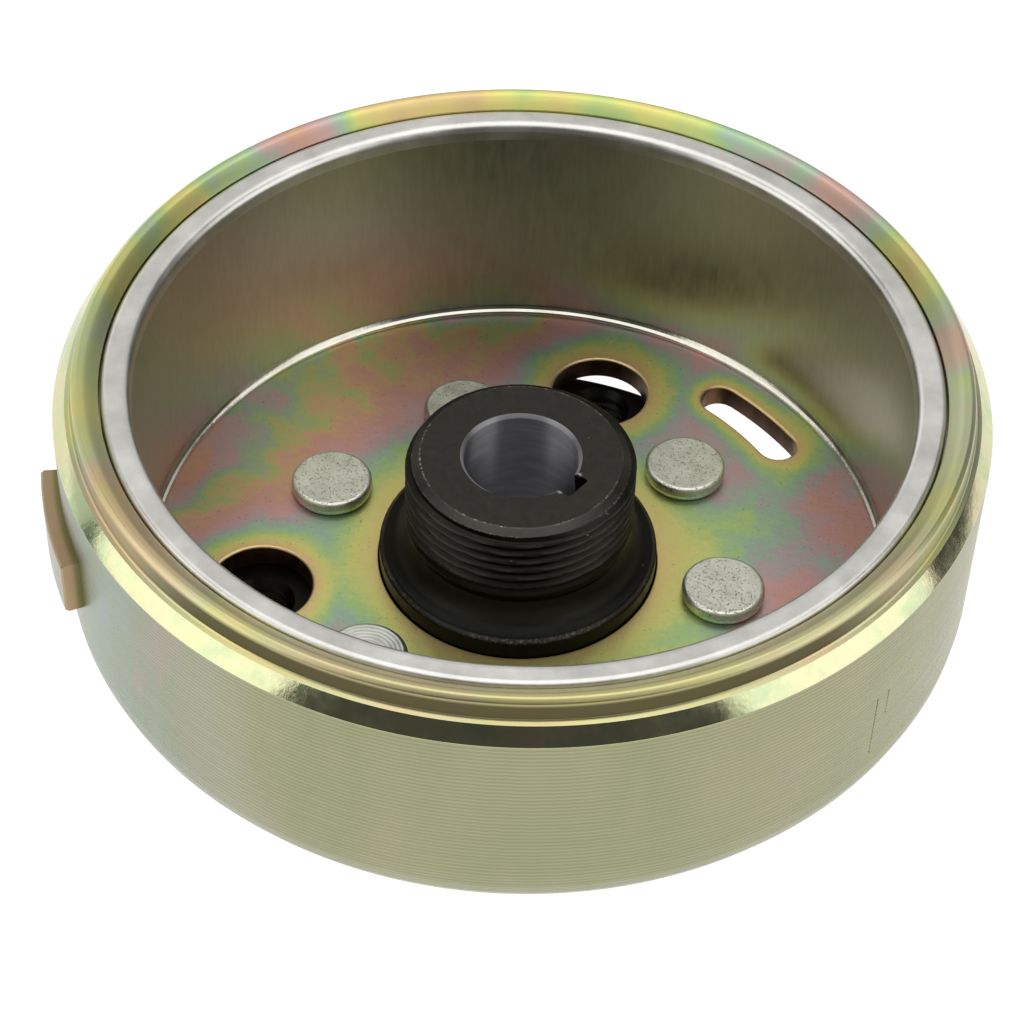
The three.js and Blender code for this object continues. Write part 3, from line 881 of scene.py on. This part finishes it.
def thread_radius(r, z, angle):
    """The radius of the hub's outside with its right-hand puller thread cut in."""
    if r < THREAD_R - 0.15 or not THREAD_LOW < z < THREAD_HIGH:
        return r
    crest_share, flank_share = 0.12, 0.74
    phase = ((z - THREAD_LOW) / THREAD_PITCH - angle / (2 * math.pi)) % 1.0
    groove = min(max((1 - abs(2 * phase - 1) - crest_share) / flank_share, 0.0), 1.0)
    run_out = min((z - THREAD_LOW) / THREAD_RUN_OUT, 1.0)
    return r - THREAD_DEPTH * groove * run_out


def threaded_rings(points):
    """The outline with close rings up the threaded stretch."""
    out = []
    for (r0, z0), (r1, z1) in zip(points, points[1:] + points[:1]):
        out.append((r0, z0))
        on_thread = abs(r0 - THREAD_R) < 0.02 and abs(r1 - THREAD_R) < 0.02
        if on_thread and z1 - z0 > 2:
            cuts = round((z1 - z0) / THREAD_RING_STEP)
            out += [(r0, z0 + (z1 - z0) * k / cuts) for k in range(1, cuts)]
    return out


def bore_radius(z):
    return BORE_TOP_R + (HUB_TOP - z) * BORE_TAPER


def keyway_cutter():
    """A groove of one depth down the tapered bore, with eased corners at its bottom."""
    half, ease, inside = KEYWAY_W / 2, 0.25, BORE_TOP_R - 3
    turn = Matrix.Rotation(math.radians(KEYWAY_AZ), 3, "Z")
    loops = []
    for z in (BACK_Z - 1, HUB_TOP + 1):
        deep = bore_radius(z) + KEYWAY_DEPTH
        corners = [(inside, -half), (deep - ease, -half), (deep, -half + ease)]
        corners += [(deep, half - ease), (deep - ease, half), (inside, half)]
        loops.append([turn @ (Vector((x, y, z + FLOOR_Z)) * MM) for x, y in corners])
    return stacked(loops)


def tap_cutter(azimuth):
    """A threaded hole through the flange, its turns as rings, with a bevel at each mouth."""
    wide_r, low, high = BOLT_TAP_R + TAP_MOUTH, BACK_Z - 1, FLANGE_TOP + 0.1
    outline = [(0, low), (wide_r, low), (wide_r, BACK_Z), (BOLT_TAP_R, BACK_Z + TAP_MOUTH)]
    first_turn = BACK_Z + TAP_MOUTH + 0.15
    for k in range(int((FLANGE_TOP - TAP_MOUTH - 0.05 - first_turn) / TAP_PITCH)):
        z = first_turn + k * TAP_PITCH
        outline += [(BOLT_TAP_R, z + 0.1), (BOLT_TAP_R + TAP_DEPTH, z + TAP_PITCH / 2),
                    (BOLT_TAP_R, z + TAP_PITCH - 0.1)]
    outline += [(BOLT_TAP_R, FLANGE_TOP - TAP_MOUTH), (wide_r, FLANGE_TOP)]
    outline += [(wide_r, high), (0, high)]
    return off_axis(carried_round(outline, SMALL_FACETS), BOLT_PCR, azimuth)


def rivet_hole_cutter(azimuth):
    """A hole for a rivet's shank, widened at the back for its tail."""
    shank_r, tail_r = RIVET_SHANK_R + 0.1, RIVET_TAIL_R + 0.08
    low, high = BACK_Z - 1, FLANGE_TOP + 0.1
    outline = [(0, low), (tail_r, low), (tail_r, BACK_Z), (shank_r, BACK_Z + RIVET_TAIL_H)]
    outline += [(shank_r, high), (0, high)]
    return off_axis(carried_round(outline, SMALL_FACETS), RIVET_PCR, azimuth)


def hub_region(centre, normal):
    """Which finish a face takes: the bore and its top bevel are bare, but not the keyway."""
    radius, z = math.hypot(centre.x, centre.y), centre.z - FLOOR_Z
    in_bevel = z > HUB_TOP - BORE_BEVEL - 0.05 and radius < BORE_TOP_R + BORE_BEVEL - 0.02
    in_bore = radius < bore_radius(z) + 0.12 or in_bevel
    return BORE if in_bore and abs(normal.z) < 0.95 else OXIDE


def build_hub():
    low_bevel, high_bevel = BACK_Z + BORE_BEVEL, HUB_TOP - BORE_BEVEL
    outline = rounded([
        (bore_radius(BACK_Z) + BORE_BEVEL, BACK_Z, 0.05),
        (FLANGE_R, BACK_Z, 0.7),
        (FLANGE_R, FLANGE_TOP, 0.5),
        (RIM_R, FLANGE_TOP, 0.1),
        (RIM_R, RIM_H, 0.08),
        (RIM_R - RIM_BEVEL, RIM_H + RIM_BEVEL, 0.15),
        *[(r, z, 0) for r, z in NECK_FLARE],
        (THREAD_R, THREAD_LOW + 0.6, 0.4),
        (THREAD_R, THREAD_HIGH - 0.6, 0.05),
        (THREAD_END_R, THREAD_HIGH, 0.15),
        (HUB_FACE_R, HUB_TOP, 0.12),
        (BORE_TOP_R + BORE_BEVEL, HUB_TOP, 0.05),
        (bore_radius(high_bevel), high_bevel, 0.05),
        (bore_radius(low_bevel), low_bevel, 0.05),
    ], steps=3)
    body = carried_round(threaded_rings(outline), SHELL_FACETS, thread_radius)
    hub = make_object("hub_body", body)
    cutters = [keyway_cutter(), *[tap_cutter(az) for az in BOLT_AZ]]
    cutters += [rivet_hole_cutter(az) for az in RIVET_AZ]
    combined(hub, cutters, "DIFFERENCE")
    for make in (black_oxide, bore_steel):
        hub.data.materials.append(make())
    for face in hub.data.polygons:
        face.material_index = hub_region(face.center / MM, face.normal)
    finished(hub, ["hub"])


# ---- rivets ----------------------------------------------------------------------------------
def build_rivet(index, azimuth, finish):
    """One rivet, its head a little out of true, as forged heads are."""
    outline = rounded([
        (0, BACK_Z + 0.02, 0),
        (RIVET_TAIL_R, BACK_Z + 0.02, 0.1),
        (RIVET_SHANK_R, BACK_Z + RIVET_TAIL_H, 0.1),
        (RIVET_SHANK_R, 0.04, 0.05),
        (RIVET_HEAD_R - 0.3, 0.04, 0.25),
        (RIVET_HEAD_R, 0.9, 0.6),
        (RIVET_HEAD_R - 0.12, RIVET_HEAD_TOP, 0.62),
        (RIVET_HEAD_R - 1.5, RIVET_HEAD_TOP - 0.01, 0.3),
        (0, RIVET_HEAD_TOP - 0.03, 0),
    ])
    seed = Vector((index * 7.3, 2.1, 0))

    def out_of_true(r, z, angle):
        if z < 0.3:
            return r
        where = Vector((math.cos(angle) * 1.4, math.sin(angle) * 1.4, z * 0.9)) + seed
        return r * (1 + 0.006 * noise.noise(where) + 0.004 * noise.noise(where * 5))

    mesh = off_axis(carried_round(outline, RIVET_FACETS, out_of_true), RIVET_PCR, azimuth)
    rivet = make_object(f"rivet_body_{index + 1}", mesh)
    rivet.data.materials.append(finish)
    finished(rivet, [f"rivet_{index + 1}"])


def build_rivets():
    forged, turned = rivet_zinc(), turned_rivet_zinc()
    for index, azimuth in enumerate(RIVET_AZ):
        build_rivet(index, azimuth, turned if index == TURNED_RIVET else forged)


# ---- hidden pieces ---------------------------------------------------------------------------
def plain_grainy(name, dark, light, metallic, roughness, scale, depth):
    made, tree, surface, place = new_material(name, Metallic=metallic)
    clouds = grain(tree, place, scale, detail=5.0, roughness=0.6)
    set_colour(tree, surface, two_tone(tree, clouds, dark, light))
    set_roughness(tree, surface, clouds, roughness * 0.85, roughness * 1.15)
    set_bump(tree, surface, clouds, depth)
    return made


def finish_hidden_pieces():
    """Finishes for the CAD nodes that stay as they are: the magnets, spacers and seat ring."""
    ferrite = plain_grainy("ferrite", srgb(52, 52, 55), srgb(74, 74, 78), 0.2, 0.7, 700.0, 0.02)
    plastic = plain_grainy("spacer_plastic", srgb(30, 30, 31), srgb(42, 42, 43),
                           0.0, 0.6, 900.0, 0.01)
    alloy = plain_grainy("seat_alloy", srgb(176, 178, 182), srgb(200, 202, 206),
                         1.0, 0.4, 300.0, 0.01)
    for name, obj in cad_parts.items():
        if name.startswith("magnet_spacer"):
            finish = plastic
        elif name == "magnet_seat_ring":
            finish = alloy
        elif name.startswith("magnet_") and name != "magnet_sleeve":
            finish = ferrite
        else:
            continue
        if not obj.material_slots:
            obj.data.materials.append(finish)
        for material_slot in obj.material_slots:
            material_slot.material = finish


# ---- stage -----------------------------------------------------------------------------------
def from_camera(azimuth, elevation, distance):
    """A place round the object, its azimuth counted to the right from the camera's side."""
    a, e = math.radians(azimuth - 90 + CAMERA_AZ), math.radians(elevation)
    away = Vector((math.cos(a) * math.cos(e), math.sin(a) * math.cos(e), math.sin(e)))
    return away * distance


def softbox(name, azimuth, elevation, distance, size, brightness):
    """A rectangular light facing the object, its brightness as seen in a mirror."""
    data = bpy.data.lights.new(name, "AREA")
    data.shape = "RECTANGLE"
    data.size, data.size_y = size
    data.energy = brightness * size[0] * size[1] * math.pi
    light = bpy.data.objects.new(name, data)
    bpy.context.scene.collection.objects.link(light)
    light.location = from_camera(azimuth, elevation, distance)
    light.rotation_euler = light.location.to_track_quat("Z", "Y").to_euler()


def paper():
    """White paper that glows, with a painted shadow under the middle of the drum, where it is dark
    and does not glow.
    """
    made = bpy.data.materials.new("paper")
    made.use_nodes = True
    tree = made.node_tree
    surface = tree.nodes["Principled BSDF"]
    surface.inputs["Roughness"].default_value = 1.0
    surface.inputs["Specular IOR Level"].default_value = 0.0
    surface.inputs["Emission Color"].default_value = grey(1.0)
    place = node(tree, "TexCoord").outputs["Object"]
    from_axis = node(tree, "VectorMath", {0: place}, operation="LENGTH").outputs["Value"]
    glow_beyond_painted_shadow = smooth_step(tree, from_axis, *PAPER_SHADOW_TO_GLOW)
    tree.links.new(glow_beyond_painted_shadow, surface.inputs["Emission Strength"])
    # painted shadow: a dark grey under the middle of the drum
    set_colour(tree, surface, mix(tree, glow_beyond_painted_shadow, grey(0.85), grey(0.12)))
    return made


def build_world():
    """A dim studio that the camera sees as white."""
    world = bpy.data.worlds.new("studio")
    bpy.context.scene.world = world
    world.use_nodes = True
    tree = world.node_tree
    background = tree.nodes["Background"]
    background.inputs["Strength"].default_value = 1.0
    seen = node(tree, "LightPath").outputs["Is Camera Ray"]
    tree.links.new(mix(tree, seen, grey(0.07), grey(1.0)), background.inputs["Color"])


def build_stage():
    mesh = bmesh.new()
    bmesh.ops.create_grid(mesh, x_segments=1, y_segments=1, size=3.0)
    floor = make_object("stage_floor", mesh)
    floor.location.z = -PAPER_DROP
    floor.data.materials.append(paper())
    build_world()
    for box in SOFTBOXES:
        softbox(*box)
    view = bpy.context.scene.view_settings
    view.view_transform = "Standard"
    view.look = "None"


def build_camera():
    data = bpy.data.cameras.new("camera")
    data.sensor_width = CAMERA_SENSOR
    data.lens = CAMERA_LENS
    data.clip_start, data.clip_end = 0.01, 20
    camera = bpy.data.objects.new("camera", data)
    bpy.context.scene.collection.objects.link(camera)
    pitch, yaw, roll = (math.radians(v) for v in (CAMERA_PITCH, CAMERA_YAW, CAMERA_ROLL))
    flat = math.cos(pitch)
    ahead = Vector((math.sin(yaw) * flat, math.cos(yaw) * flat, -math.sin(pitch)))
    right = ahead.cross(Vector((0, 0, 1))).normalized()
    level = Matrix((right, right.cross(ahead), -ahead)).transposed()
    turned = level @ Matrix.Rotation(roll, 3, "Z")
    swung = Matrix.Rotation(math.radians(CAMERA_AZ), 3, "Z")
    place = swung @ (Vector((0, -CAMERA_BACK, CAMERA_UP + FLOOR_Z)) * MM)
    camera.matrix_world = Matrix.Translation(place) @ (swung @ turned).to_4x4()
    bpy.context.scene.camera = camera


build_camera()
build_stage()
build_drum()
build_sleeve()
build_hub()
build_rivets()
finish_hidden_pieces()
